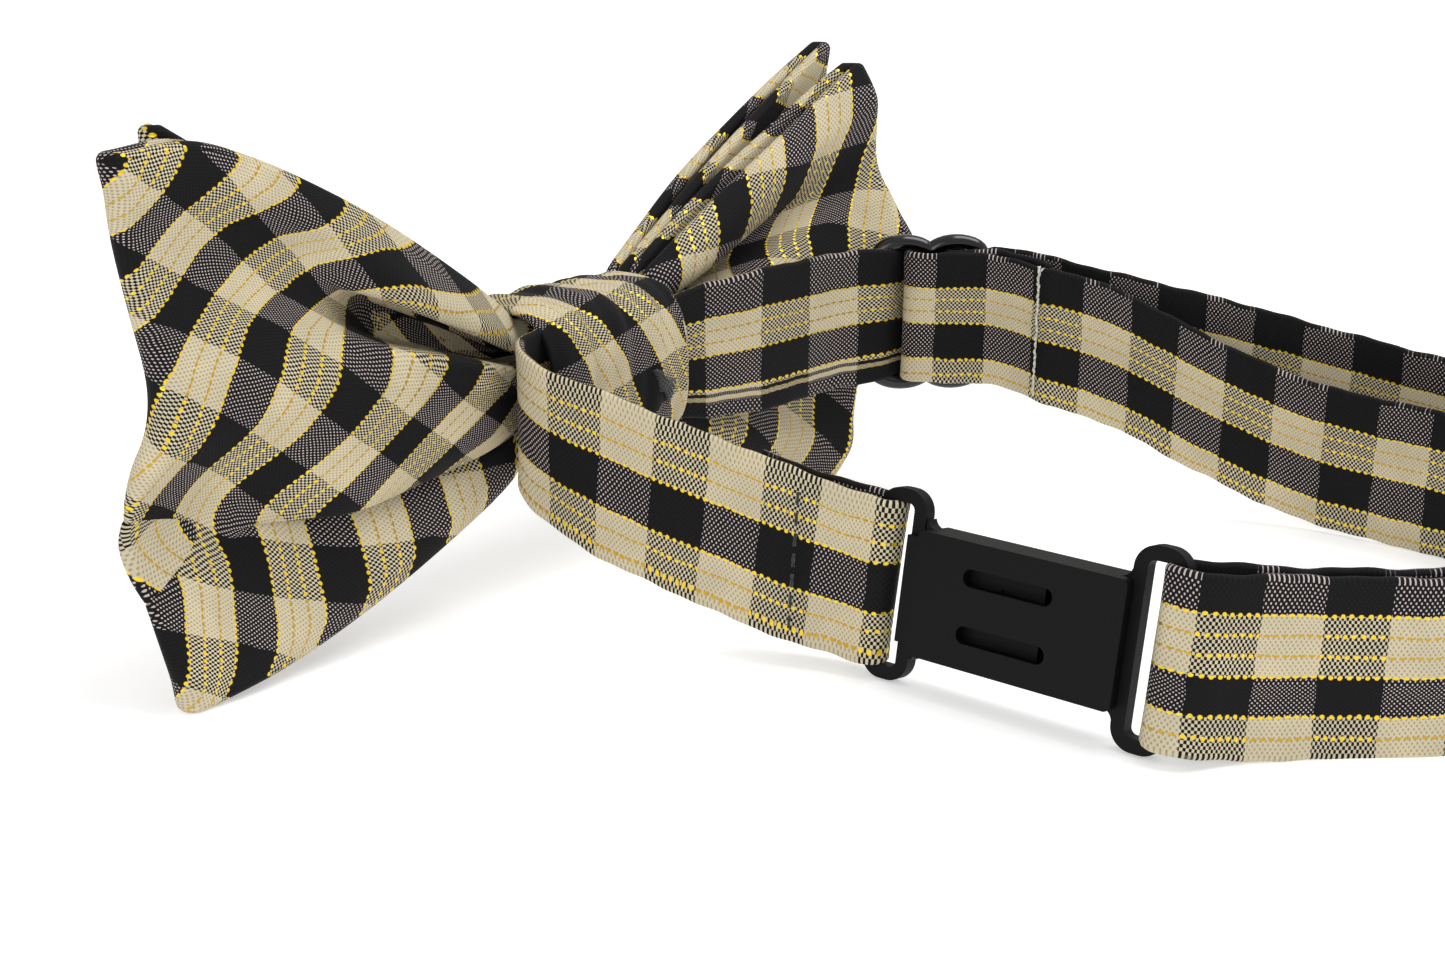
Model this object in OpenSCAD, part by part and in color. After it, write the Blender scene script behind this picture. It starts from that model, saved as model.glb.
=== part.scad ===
// Ready-tied bow tie on an adjustable neckband, standing on a table.
// +X runs along the bow, the bow's face looks towards -Y, the neckband loops out towards +Y.
// The origin is on the table, straight below the middle of the knot. Millimetres.

/* [Bow] */
// Half span of the rear loop at its upper tips
rear_half_span = 62; // [50:1:72]
// Half span of the front loop at its upper tips
front_half_span = 58; // [46:1:68]
// Height of the upper tips above the table
wing_height = 62; // [52:1:70]
// Thickness of each loop at the middle of a wing
wing_thickness = 5; // [3:0.2:5.6]
// Depth of the soft pleats
pleat_depth = 1.8; // [0:0.1:2]

/* [Knot] */
// Length of the knot wrap along the bow
knot_length = 24; // [20:0.5:28]
// Height of the knot wrap
knot_height = 21.5; // [20.5:0.25:24]
// Thickness of the wrapped and folded cloth
knot_wall = 1.4; // [0.8:0.1:1.4]

/* [Neckband] */
// Width of the folded band
band_width = 19; // [17:0.5:19.5]
// Thickness of the folded and pressed band
band_thickness = 1.1; // [0.8:0.05:1.1]

/* [Slider] */
// Spacing of the three upright bars
bar_pitch = 7.6; // [7.2:0.1:7.8]
// Radius of the upright bars
bar_radius = 1.2; // [1:0.05:1.2]
// Overall height of the slider
slider_height = 23.1; // [22.9:0.1:25]
// Angle along the bend of the band at which the slider sits
slider_angle = -137; // [-138:1:-130]

/* [Clip] */
// Length of the closed sleeve
sleeve_length = 25.2; // [22:0.2:26]
// Height of the sleeve
sleeve_height = 14.3; // [13:0.1:16]
// Thickness of the sleeve
sleeve_thickness = 5; // [4.6:0.1:6]
// Height of the strap loops
loop_height = 22.2; // [22:0.1:24]
// Lean of the clip towards the inside of the neckband
clip_lean = 10; // [8:0.5:12]

/* [Hidden] */
$fn = 48;

cloth_dark = [0.12, 0.11, 0.12];
cloth_cream = [0.78, 0.73, 0.60];
cloth_inner = [0.86, 0.85, 0.80];
plastic_black = [0.03, 0.03, 0.035];
thread_black = [0.05, 0.05, 0.05];
thread_white = [0.92, 0.92, 0.88];

mid_z = 27;                       // height of the knot's axis
waist = 7.6;                      // half height of the gathered loops inside the knot
ply = 1.1;                        // thickness of one cloth layer of a loop
clear = 0.3;

// The band's bend behind the bow is one arc, which the slider follows.
bend_centre = [-40, 34];
bend_radius = 24;
slider_plane = bend_radius + 0.6; // distance of the slider's plane from the bend's centre
through_offset = bar_radius + 0.15 + band_thickness / 2;
eye_radius = bar_radius + 0.1 + band_thickness / 2;
weave_offset = eye_radius + band_thickness + 0.3;
tail_radius = bend_radius - band_thickness - 0.5;
return_radius = tail_radius - band_thickness - 0.3;
weave_half = 22;                  // half of the arc that the woven stretch covers, degrees
tail_arc = 45;                    // arc from the centre bar to the sewn end, degrees
pinched = 18.2;                   // width of the band where the slider and the clip hold it

rail = 1.6;                       // section of the clip's loops
loop_depth = 6.2;
clip_y = 51.4;                    // the end of the clip's male loop
clip_foot = [6.5, 0, 0.2];        // foot of the leaning clip
sleeve_y = clip_y + loop_depth + clear;
female_y = sleeve_y + sleeve_length;
sleeve_z = (loop_height - sleeve_height) / 2;
prong_length = 16;
prong_height = 10.4;
prong_thickness = 1.9;
bar_x = clip_foot.x - loop_height / 2 * sin(clip_lean);
fold_radius = 1.2 + 0.1 + band_thickness / 2; // clears the corners of the clip's bars

// ---------- helpers ----------
function mix(a, b, t) = a + (b - a) * t;
function spline(a, b, c, d, t) =
    0.5 * (2 * b + (c - a) * t + (2 * a - 5 * b + 4 * c - d) * t * t + (3 * b - a - 3 * c + d) * t * t * t);
// Smooth curve through control points, n steps a span
function curve(p, n) = let(k = len(p) - 1) [
    for (i = [0:k - 1], j = [0:n - 1])
        spline(i == 0 ? 2 * p[0] - p[1] : p[i - 1], p[i], p[i + 1],
               i == k - 1 ? 2 * p[k] - p[k - 1] : p[i + 2], j / n),
    p[k]
];
function slice(v, a, b) = [for (i = [a:b]) v[i]];
function reversed(v) = [for (i = [len(v) - 1:-1:0]) v[i]];
function arc(c, r, a, b, n) = [for (i = [0:n]) c + r * [cos(mix(a, b, i / n)), sin(mix(a, b, i / n))]];
function superellipse(t, a, b, p) = [a * sign(cos(t)) * pow(abs(cos(t)), 2 / p),
                                     b * sign(sin(t)) * pow(abs(sin(t)), 2 / p)];

// Solid through rings of points. A ring goes up one side (first half) and down the other.
module loft(rings) {
    m = len(rings[0]);
    k = m / 2 - 1;
    n = len(rings);
    cap = [for (j = [0:k - 1]) each [[j, j + 1, m - 2 - j], [j, m - 2 - j, m - 1 - j]]];
    last = (n - 1) * m;
    faces = concat(
        cap,
        [for (f = cap) [last + f[2], last + f[1], last + f[0]]],
        [for (i = [0:n - 2], j = [0:m - 1]) let(a = i * m + j, b = i * m + (j + 1) % m)
            each [[a, a + m, b + m], [a, b + m, b]]]
    );
    polyhedron([for (r = rings) each r], faces);
}

// Flat band along a path of [x, y, z, lean, width]; its width stands upright, leaning towards -X.
function band_ring(path, i, t) = let(
    p = path[i],
    a = path[max(i - 1, 0)],
    b = path[min(i + 1, len(path) - 1)],
    d = [b.x - a.x, b.y - a.y] / norm([b.x - a.x, b.y - a.y]),
    across = [-sin(p[3]), 0, cos(p[3])],
    up = across * p[4] / 2,
    out = cross(across, [d.x, d.y, 0]) / norm(cross(across, [d.x, d.y, 0])) * t / 2,
    c = [p.x, p.y, p.z]
) [c - up + out, c + up + out, c + up - out, c - up - out];
module band(path, t = band_thickness) {
    loft([for (i = [0:len(path) - 1]) band_ring(path, i, t)]);
}
function flat(xy, z, w) = [for (p = xy) [p.x, p.y, z, 0, w]];

// Plate with rounded corners, standing in the Y-Z plane, centred in thickness
module rounded_plate(size, r, t) {
    rotate([90, 0, 90]) linear_extrude(t, center = true) rounded_rect(size, r);
}
module rounded_rect(size, r) {
    translate([r, 0]) square([size.x - 2 * r, size.y]);
    translate([0, r]) square([size.x, size.y - 2 * r]);
    for (x = [r, size.x - r], y = [r, size.y - r]) translate([x, y]) circle(r);
}

// ---------- bow ----------
// Wing of a loop: [x of the tip at the bottom, at the top, bulge, z bottom, z top, y bottom, y top, curl]
rear_near = [rear_half_span - 4, rear_half_span + 2, 1, 0, wing_height - 1, 0, -1, 0];
rear_far = [rear_half_span - 9, rear_half_span - 2, 6, 0, wing_height, 1, 2, 7];
front_near = [front_half_span - 4, front_half_span, 1, 1, wing_height + 0.5, -5, -4.5, 0];
front_far = [front_half_span - 7, front_half_span, 1, 1, wing_height + 2, -4, -3.5, 0];
FRONT = [[-4.6, front_far], [-4.6, front_near], [[0, -4.6], [0.23, -4.6], [0.5, -7], [0.8, -6], [1, 0]], -1];
REAR = [[0.4, rear_far], [0.4, rear_near], [[0, 0.4], [0.23, 0.4], [0.5, -0.2], [0.8, 0], [1, 0]], 1];

top_edge = [[0, 0], [0.23, 0], [0.28, 0.1], [0.45, 0.42], [0.7, 0.71], [1, 1]];
bottom_edge = [[0, 0], [0.23, 0], [0.28, 0.12], [0.5, 0.57], [0.75, 0.82], [1, 1]];
stations = [0.1, 0.23, 0.28, 0.35, 0.42, 0.5, 0.58, 0.66, 0.75, 0.83, 0.92, 1];
thickness_along = [[0, 0.84], [0.23, 0.84], [0.5, 1], [0.8, 0.8], [1, 0.52]];
pleat_along = [[0, 0], [0.23, 0], [0.4, 1], [0.7, 0.8], [1, 0.2]];

// Middle surface of a wing: u from the knot to the tip, v from the bottom to the top
function wing_point(wing, mid, face, side, u, v) = let(
    tip_y = mix(wing[5], wing[6], v) + wing[7] * sin(180 * v),
    fade = lookup(u, [[0, 0], [0.5, 0.04], [0.8, 0.25], [1, 1]]),
    z0 = mix(mid_z - waist, wing[3] + ply / 2, lookup(u, bottom_edge)),
    z1 = mix(mid_z + waist, wing[4] - ply / 2, lookup(u, top_edge)),
    lobe = (0.5 + 0.5 * cos(540 * (v - 0.5))) * pleat_depth * lookup(u, pleat_along)
) [side * u * (mix(wing[0], wing[1], v) + wing[2] * sin(180 * v)),
   mix(lookup(min(u, 0.8), mid), tip_y, fade) + face * lobe,
   mix(z0, z1, v)];

// Section of the loop at one station, shrunk by an inset for the hollow and its lining
function loop_ring(loop, side, u, inset) = let(
    wing = side < 0 ? loop[0][1] : loop[1][1],
    n = 12,
    half = (wing_thickness * lookup(u, thickness_along) - 2 * inset) / 2,
    v0 = inset / 20,
    pts = [for (j = [0:n]) wing_point(wing, loop[2], loop[3], side, u, mix(v0, 1 - v0, j / n))],
    h = [for (j = [0:n]) half * pow(1 - pow(abs(2 * j / n - 1), 5) * 0.6, 0.5)]
) concat([for (j = [0:n]) pts[j] + [0, h[j], 0]], [for (j = [n:-1:0]) pts[j] - [0, h[j], 0]]);

module bow_solid(loop, inset = 0) {
    last = 1 - inset / 45;
    us = concat([for (u = reversed(stations)) [-1, last * u]], [[1, 0]], [for (u = stations) [1, last * u]]);
    loft([for (s = us) loop_ring(loop, s[0], s[1], inset)]);
}
module bow_loop(loop) {
    difference() {
        bow_solid(loop);
        bow_solid(loop, 0.7);
    }
}
module front_bow_loop() color(cloth_cream) bow_loop(FRONT);
module rear_bow_loop() color(cloth_dark) bow_loop(REAR);
module front_loop_interlining() color(cloth_inner) bow_solid(FRONT, 0.95);
module rear_loop_interlining() color(cloth_inner) bow_solid(REAR, 0.95);

// Three turns of thread that gather both loops, hidden under the wrap
module binding_thread() {
    color(thread_black)
        for (x = [-2.4, 0, 2.4])
            translate([x, 0, 0]) rotate([90, 0, 90]) linear_extrude(0.6, center = true) difference() {
                translate([-7.45, mid_z - 8.5]) rounded_rect([10.95, 17], 2.2);
                translate([-6.95, mid_z - 7.95]) rounded_rect([9.95, 15.9], 1.6);
            }
}

// Wrap around the waist: a barrel with a wide flat opening for the gathers and the bands
function knot_ring(x, grow, power) = let(swell = cos(90 * abs(x) / (knot_length * 0.8)), n = 16)
    [for (j = [0:2 * n - 1]) let(t = -90 + (j + 0.5) * 180 / n,
        p = superellipse(t, 7.9 + grow + 0.7 * swell, knot_height / 2 - knot_wall + grow + 0.4 * swell, power))
        [x, p.x - 0.1, mid_z + p.y]];
module knot_solid(length, grow, power) {
    steps = 8;
    loft([for (i = [0:steps]) [for (p = knot_ring(mix(-length, length, i / steps) / 2, grow, power)) p]]);
}
module knot_wrap() {
    color(cloth_cream) difference() {
        knot_solid(knot_length, knot_wall, 3.2);
        knot_solid(knot_length + 2, 0, 5);
    }
}
// Short overhand stitches that close the wrap at the back
module knot_tack_stitches() {
    color(thread_black)
        for (i = [0:2])
            translate([-8.2 - 1.1 * i, knot_back_y + 0.35, mid_z - 3.5 - 0.3 * i])
                rotate([12 * i - 12, 0, 0]) cylinder(h = 2.2, r = 0.22, center = true);
}
knot_back_y = 7.9 + knot_wall + 0.7 - 0.1;

// ---------- short strap ----------
male_bar = [bar_x, clip_y + rail / 2];
short_route = concat(
    [[1, 6, mid_z, 0, 15], [8, 6, mid_z, 0, 15], [13, 6.4, mid_z, 0, 15.6], [17.2, 7.4, 25.6, 0, 17],
     [18, 11.6, 23, 0, 18.2], [15.6, 20.5, 19.6, 6, 19], [12, 32, 16, 9, 19], [8.4, 43, 12.8, 10, 19],
     [6.6, 48.6, 11.6, 10, pinched]],
    [for (p = arc(male_bar, fold_radius, 0, 180, 6)) [p.x, p.y, 11.2, 10, pinched]],
    [[3.4, 48, 11.4, 10, pinched], [5.2, 41.5, 12.6, 10, pinched], [7.4, 36, 14.2, 9.4, pinched]]
);
module short_strap() color(cloth_dark) band(curve(short_route, 4));
module short_strap_stitching() {
    color(thread_black)
        for (i = [-3:3])
            translate([9.35, 43.4, 12.8]) rotate([0, -10, 17]) translate([0.55, 0, 2.4 * i])
                cylinder(h = 1.5, r = 0.18, center = true, $fn = 16);
}

// ---------- clip ----------
module at_clip() translate(clip_foot) rotate([0, -clip_lean, 0]) children();
module strap_loop(y) {
    translate([0, y, 0]) difference() {
        rounded_plate([loop_depth, loop_height], 2.6, 1.8);
        translate([0, rail, rail]) rounded_plate([loop_depth - 2 * rail, loop_height - 2 * rail], 0.8, 3);
    }
}
// Concave corner between the sleeve and a strap loop, towards sy along Y and sz along Z
module shoulder(y, z, sy, sz) {
    r = 1.3;
    translate([0, y, z]) rotate([90, 0, 90]) linear_extrude(1.8, center = true) difference() {
        translate([sy > 0 ? 0 : -r, sz > 0 ? -0.2 : 0.3 - r]) square([sy > 0 ? r : r + 0.1, r - 0.1]);
        translate([sy * r, sz * r]) circle(r);
    }
}
module clip_male() {
    mid = loop_height / 2;
    color(plastic_black) at_clip() {
        strap_loop(clip_y);
        translate([-1.7, sleeve_y - clear - rail, sleeve_z + 1]) cube([3.4, rail, sleeve_height - 2]);
        difference() {
            translate([0, sleeve_y - clear - 1, mid - prong_height / 2])
                rounded_plate([prong_length + 1, prong_height], 0.9, prong_thickness);
            translate([prong_thickness / 2 - 0.3, sleeve_y + 10.4, mid - 2.5]) cube([1, 1.6, 5]);
        }
    }
}
module clip_female() {
    mid = loop_height / 2;
    wall = (sleeve_thickness - prong_thickness - 2 * clear) / 2;
    color(plastic_black) at_clip() {
        strap_loop(female_y);
        difference() {
            translate([0, sleeve_y, sleeve_z])
                rounded_plate([sleeve_length + 0.4, sleeve_height], 0.8, sleeve_thickness);
            translate([-prong_thickness / 2 - clear, sleeve_y - 1, mid - prong_height / 2 - clear])
                cube([prong_thickness + 2 * clear, prong_length + 2.6, prong_height + 2 * clear]);
            for (z = [-3.2, 3.2])
                translate([sleeve_thickness / 2, sleeve_y + 6.3, mid + z - 1])
                    rounded_plate([11, 2], 0.95, 2 * wall + 0.6);
        }
        translate([sleeve_thickness / 2 - wall - 0.22, sleeve_y + 10.7, mid - 1.6]) cube([0.4, 1, 3.2]);
        for (top = [0, 1]) {
            shoulder(sleeve_y, sleeve_z + top * sleeve_height, 1, 2 * top - 1);
            shoulder(female_y, sleeve_z + top * sleeve_height, -1, 2 * top - 1);
        }
    }
}

// ---------- long strap ----------
outer_end = [mix(clip_foot.x, bar_x, 1), female_y + loop_depth - rail / 2];
bend_start = flat(arc(bend_centre, bend_radius, -92, slider_angle + weave_half, 4), mid_z, band_width);
knot_route = concat([[-1, 6, mid_z, 0, 15], [-8, 6, mid_z, 0, 15], [-13, 6.4, mid_z, 0, 15.8],
                     [-19, 7.7, mid_z, 0, 17.6], [-28, 9.3, mid_z, 0, band_width]], bend_start);
module long_strap_knot_run() color(cloth_dark) band(curve(knot_route, 3));

// Slider frame: t along the band, n towards the bend's centre
function at_slider(t, n) = bend_centre + (slider_plane - n) * [cos(slider_angle), sin(slider_angle)]
    + t * [sin(slider_angle), -cos(slider_angle)];
function on_bend(r, a) = bend_centre + r * [cos(slider_angle - a), sin(slider_angle - a)];

// The band passes inside the outer bars and outside the centre bar with its sewn eye.
lift = acos((through_offset + weave_offset) / bar_pitch);
weave_tn = concat(
    [for (p = arc([-bar_pitch, 0], through_offset, 95, lift, 5)) p],
    [for (p = arc([0, 0], weave_offset, 180 + lift, 360 - lift, 9)) p],
    [for (p = arc([bar_pitch, 0], through_offset, 180 - lift, 85, 5)) p]
);
weave_path = flat(concat([on_bend(bend_radius, -weave_half + 1)], [for (p = weave_tn) at_slider(p.x, p.y)],
                         [on_bend(bend_radius, weave_half - 1)]), mid_z, pinched);
module long_strap_slider_weave() color(cloth_dark) band(weave_path);

outer_controls = concat(
    [for (a = [weave_half + 0.6, 30]) let(p = on_bend(bend_radius, a)) [p.x, p.y, mid_z, 0, band_width]],
    [[-68, 42, 24.5, 0, band_width], [-76, 56, 21, 0, band_width], [-83, 72, 17, 0, band_width],
     [-85, 88, 14.5, 0, band_width], [-81, 104, 12, 0, band_width], [-68, 118, 10.5, 0, band_width],
     [-44, 125, 9.8, 0, band_width], [-28, 120.5, 9.6, 0, band_width], [-14, 111, 9.6, 0, band_width],
     [-5, 100.8, 9.8, 3, band_width]]
);
module long_strap_outer_run() color(cloth_dark) band(curve(outer_controls, 4));

fold_controls = concat(
    [[-4.6, 100.3, 9.8, 3, band_width], [1.4, 95, 10.4, 6, band_width], [5.4, 91.9, 11, 9, pinched + 0.3]],
    [for (p = arc(outer_end, fold_radius, 0, -180, 6)) [p.x, p.y, 11.2, 10, pinched]],
    [[0, 92.9, 10.6, 7, band_width], [-7.6, 100.4, 9.8, 3, band_width]]
);
module long_strap_clip_fold() {
    color(cloth_dark) band(curve(fold_controls, 3));
}

return_controls = concat(
    [[-8, 100.8, 9.8, 3, band_width], [-17, 109.6, 9.6, 0, band_width], [-28, 117, 9.6, 0, band_width],
     [-43, 121, 9.6, 0, band_width], [-62, 112.5, 9.6, 0, band_width], [-72, 100, 9.8, 0, band_width],
     [-75.5, 88, 10, 0, band_width], [-75, 70, 11.4, 0, band_width], [-71, 56, 16.5, 0, band_width],
     [-66, 44, 22.5, 0, band_width]],
    [let(p = on_bend(return_radius, tail_arc + 3)) [p.x, p.y, 25.4, 0, band_width]]
);
module long_strap_return_run() color(cloth_cream) band(curve(return_controls, 4));

// The return layer's end: round the centre bar and back on itself, between the two runs
eye_tn = [[4.5, 4.6], [1.5, 4.4], [-1.6, 4], [-3.3, 3.2], [-3.9, 2.1], [-3.4, 1], [-2.3, -0.3],
          [-1.4, -1.45], [0, -1.98], [1.4, -1.4], [1.98, 0], [2.6, 1.4], [3.8, 2.6], [5.6, 3.3]];
function sink(a) = mid_z - 1.7 * pow(max(a - 14, 0) / (tail_arc - 14), 2);
sewn_path = concat(
    [for (a = [tail_arc + 1:-5.2:20]) let(p = on_bend(return_radius, a)) [p.x, p.y, sink(a), 0, pinched]],
    [for (p = eye_tn) let(q = at_slider(p.x, p.y)) [q.x, q.y, mid_z, 0, pinched]],
    [for (a = [23:5.5:tail_arc]) let(p = on_bend(tail_radius, a)) [p.x, p.y, sink(a), 0, pinched]]
);
module long_strap_sewn_end() color(cloth_cream) band(sewn_path);

module sewn_end_stitching() {
    stitches = 11;
    a = tail_arc - 3;
    p = on_bend(return_radius - band_thickness / 2 - 0.2, a);
    color(thread_white)
        for (i = [0:stitches - 1])
            translate([p.x, p.y, sink(a) + (i - (stitches - 1) / 2) * 1.55])
                rotate([18, 0, slider_angle - a]) cylinder(h = 1, r = 0.18, center = true, $fn = 16);
}

// ---------- slider ----------
module slider_frame() {
    end_z = slider_height / 2 - 1.1;
    color(plastic_black)
        translate([at_slider(0, 0).x, at_slider(0, 0).y, mid_z]) rotate([0, 0, slider_angle - 90]) {
            for (i = [-1:1]) translate([i * bar_pitch, 0, 0]) {
                cylinder(h = 2 * end_z, r = bar_radius, center = true);
                for (s = [-1, 1]) translate([0, 0, s * end_z]) sphere(bar_radius);
            }
            for (s = [-1, 1])
                translate([0, 0, s * end_z]) rotate([0, 90, 0])
                    cylinder(h = 2 * bar_pitch, r = 1.1, center = true);
        }
}

front_bow_loop();
rear_bow_loop();
front_loop_interlining();
rear_loop_interlining();
binding_thread();
knot_wrap();
knot_tack_stitches();
short_strap();
short_strap_stitching();
clip_male();
clip_female();
long_strap_knot_run();
long_strap_slider_weave();
long_strap_outer_run();
long_strap_clip_fold();
long_strap_return_run();
long_strap_sewn_end();
sewn_end_stitching();
slider_frame();
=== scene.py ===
"""Looks of the ready-tied bow tie: plaid cloth, gathered loops, knot, neckband, slider and clip.

Lengths in this file are millimetres, and become metres when a mesh is made.
+X runs along the bow, the bow faces -Y, the neckband loops out towards +Y, Z = 0 is the table.
"""
import math
import random

import bpy
import numpy as np
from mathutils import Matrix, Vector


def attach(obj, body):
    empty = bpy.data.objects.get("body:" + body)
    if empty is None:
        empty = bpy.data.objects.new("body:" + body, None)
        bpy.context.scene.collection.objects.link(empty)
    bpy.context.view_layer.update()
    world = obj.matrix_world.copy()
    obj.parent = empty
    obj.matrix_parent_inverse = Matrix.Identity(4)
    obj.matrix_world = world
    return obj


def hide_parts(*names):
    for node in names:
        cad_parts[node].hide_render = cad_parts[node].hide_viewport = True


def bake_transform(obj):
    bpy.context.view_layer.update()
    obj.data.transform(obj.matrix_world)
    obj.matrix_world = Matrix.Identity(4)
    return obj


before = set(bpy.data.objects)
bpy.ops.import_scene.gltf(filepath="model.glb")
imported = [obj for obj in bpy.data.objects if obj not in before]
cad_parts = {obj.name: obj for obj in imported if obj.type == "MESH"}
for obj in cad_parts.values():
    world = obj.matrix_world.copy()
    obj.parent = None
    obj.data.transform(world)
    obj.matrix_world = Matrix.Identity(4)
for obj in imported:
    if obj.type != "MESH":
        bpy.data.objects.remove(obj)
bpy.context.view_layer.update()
MM = 0.001


# ---------- numbers and curves ----------
def smooth(points, steps):
    """Catmull-Rom curve through rows of numbers, with steps points a span."""
    p = np.array(points, float)
    p = np.vstack([2 * p[0] - p[1], p, 2 * p[-1] - p[-2]])
    t = np.arange(steps)[:, None] / steps
    spans = []
    for a, b, c, d in zip(p[:-3], p[1:-2], p[2:-1], p[3:]):
        cubic = 3 * b - a - 3 * c + d
        spans.append(0.5 * (2 * b + (c - a) * t + (2 * a - 5 * b + 4 * c - d) * t ** 2 + cubic * t ** 3))
    return np.vstack(spans + [p[-2:-1]])


def lookup(x, table):
    """Straight-line table of (x, value) rows."""
    rows = np.array(table, float)
    return np.interp(x, rows[:, 0], rows[:, 1])


def eased(x, table):
    """Table of (x, value) rows with smooth steps between them."""
    rows = np.array(table, float)
    x = np.clip(np.asarray(x, float), rows[0, 0], rows[-1, 0])
    i = np.clip(np.searchsorted(rows[:, 0], x, side="right") - 1, 0, len(rows) - 2)
    t = (x - rows[i, 0]) / (rows[i + 1, 0] - rows[i, 0])
    return rows[i, 1] + (rows[i + 1, 1] - rows[i, 1]) * t * t * (3 - 2 * t)


def unit(v):
    """Vectors of length 1."""
    return v / np.maximum(np.linalg.norm(v, axis=-1, keepdims=True), 1e-9)


def arc(centre, radius, start, end, n):
    """Points on a circle, angles in degrees."""
    a = np.radians(np.linspace(start, end, n + 1))
    return np.column_stack([centre[0] + radius * np.cos(a), centre[1] + radius * np.sin(a)])


def lengths(points):
    """Distance run along a line of points."""
    step = np.linalg.norm(np.diff(points, axis=0), axis=1)
    return np.concatenate([[0], np.cumsum(step)])


# ---------- meshes ----------
CLOSING_STEP = 0.3      # cloth between the last point of a ring and its first


def mesh_object(name, vertices, faces, material, uvs=None, body=None):
    """Smooth-shaded piece from millimetres, with one UV pair for each face corner."""
    mesh = bpy.data.meshes.new(name)
    mesh.from_pydata((np.asarray(vertices) * MM).tolist(), [], faces)
    mesh.update()
    for polygon in mesh.polygons:
        polygon.use_smooth = True
    if uvs is not None:
        layer = mesh.uv_layers.new(name="cloth")
        layer.data.foreach_set("uv", np.asarray(uvs, np.float32).ravel())
    mesh.materials.append(material)
    obj = bpy.data.objects.new(name, mesh)
    bpy.context.scene.collection.objects.link(obj)
    if body:
        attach(obj, body)
    return obj


def loft(rings, uv=None):
    """Closed mesh through rings [n, m, 3]; point j of a ring faces point m - 1 - j. uv is [n, m + 1, 2]."""
    n, m = rings.shape[:2]
    faces = []
    corners = []
    for i in range(n - 1):
        for j in range(m):
            k = (j + 1) % m
            faces.append((i * m + j, i * m + k, (i + 1) * m + k, (i + 1) * m + j))
            corners.append(((i, j), (i, j + 1), (i + 1, j + 1), (i + 1, j)))
    last = (n - 1) * m
    for j in range(m // 2 - 1):
        quad = (j, m - 1 - j, m - 2 - j, j + 1)
        faces.append(quad)
        corners.append([(0, q) for q in quad])
        faces.append(tuple(last + q for q in reversed(quad)))
        corners.append([(n - 1, q) for q in reversed(quad)])
    uvs = None
    if uv is not None:
        uvs = [uv[i, j] for corner in corners for i, j in corner]
    return rings.reshape(-1, 3), faces, uvs


def join(parts):
    """One vertex list, face list and UV list from several."""
    vertices, faces, uvs = [], [], []
    start = 0
    for v, f, t in parts:
        vertices.append(v)
        faces += [tuple(start + q for q in face) for face in f]
        if t is not None:
            uvs += t
        start += len(v)
    return np.vstack(vertices), faces, (uvs or None)


def ribbon(mid, half, across, rim_steps=3):
    """Rings of a ribbon with rounded rims about a middle surface [n, k, 3].

    half is half its thickness and across its cloth coordinate, both [n, k].
    Returns the rings and the cloth coordinate round each ring, [n, m + 1].
    """
    normal = unit(np.cross(np.gradient(mid, axis=0), np.gradient(mid, axis=1)))
    front = mid + normal * half[..., None]
    back = (mid - normal * half[..., None])[:, ::-1]
    angles = (np.arange(rim_steps) + 0.5) / rim_steps * math.pi / 2

    def rim(edge, next_in, facing, turns):
        """Quarter of a rim: points on one edge, turning from one face to the outside."""
        out = unit(mid[:, edge] - mid[:, next_in])
        h = half[:, edge][:, None]
        face = facing * normal[:, edge]
        return np.stack([mid[:, edge] + h * (face * math.cos(a) + out * math.sin(a)) for a in turns], 1)

    rings = np.concatenate([rim(0, 1, 1, angles[::-1]), front, rim(-1, -2, 1, angles),
                            rim(-1, -2, -1, angles[::-1]), back, rim(0, 1, -1, angles)], axis=1)
    low_s = across[:, :1] - half[:, :1] * angles[::-1]
    high_s = across[:, -1:] + half[:, -1:] * angles
    front_s = np.concatenate([low_s, across, high_s], axis=1)
    turn = 2 * across[:, -1:] + math.pi * half[:, -1:]
    ring_s = np.concatenate([front_s, turn - front_s[:, ::-1]], axis=1)
    return rings, np.concatenate([ring_s, ring_s[:, -1:] + CLOSING_STEP], axis=1)


def tube(points, radius, sides=8):
    """Round rod through points, with closed ends, as rings for loft()."""
    p = np.asarray(points, float)
    tangent = unit(np.gradient(p, axis=0))
    r = np.full(len(p), radius) if np.isscalar(radius) else np.asarray(radius, float)
    up = np.array([0.0, 0.0, 1.0]) if abs(tangent[0, 2]) < 0.9 else np.array([1.0, 0.0, 0.0])
    rings = []
    side = unit(np.cross(tangent[0], up))
    for q, t, radius_here in zip(p, tangent, r):
        side = unit(side - t * np.dot(side, t))
        other = np.cross(t, side)
        a = (np.arange(sides) + 0.5) * 2 * math.pi / sides
        rings.append(q + radius_here * (np.outer(np.cos(a), side) + np.outer(np.sin(a), other)))
    return loft(np.array(rings))


# ---------- materials ----------
def colour(r, g, b):
    """Linear RGBA from sRGB bytes."""
    def linear(c):
        c /= 255
        return c / 12.92 if c <= 0.04045 else ((c + 0.055) / 1.055) ** 2.4
    return (linear(r), linear(g), linear(b), 1)


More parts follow.
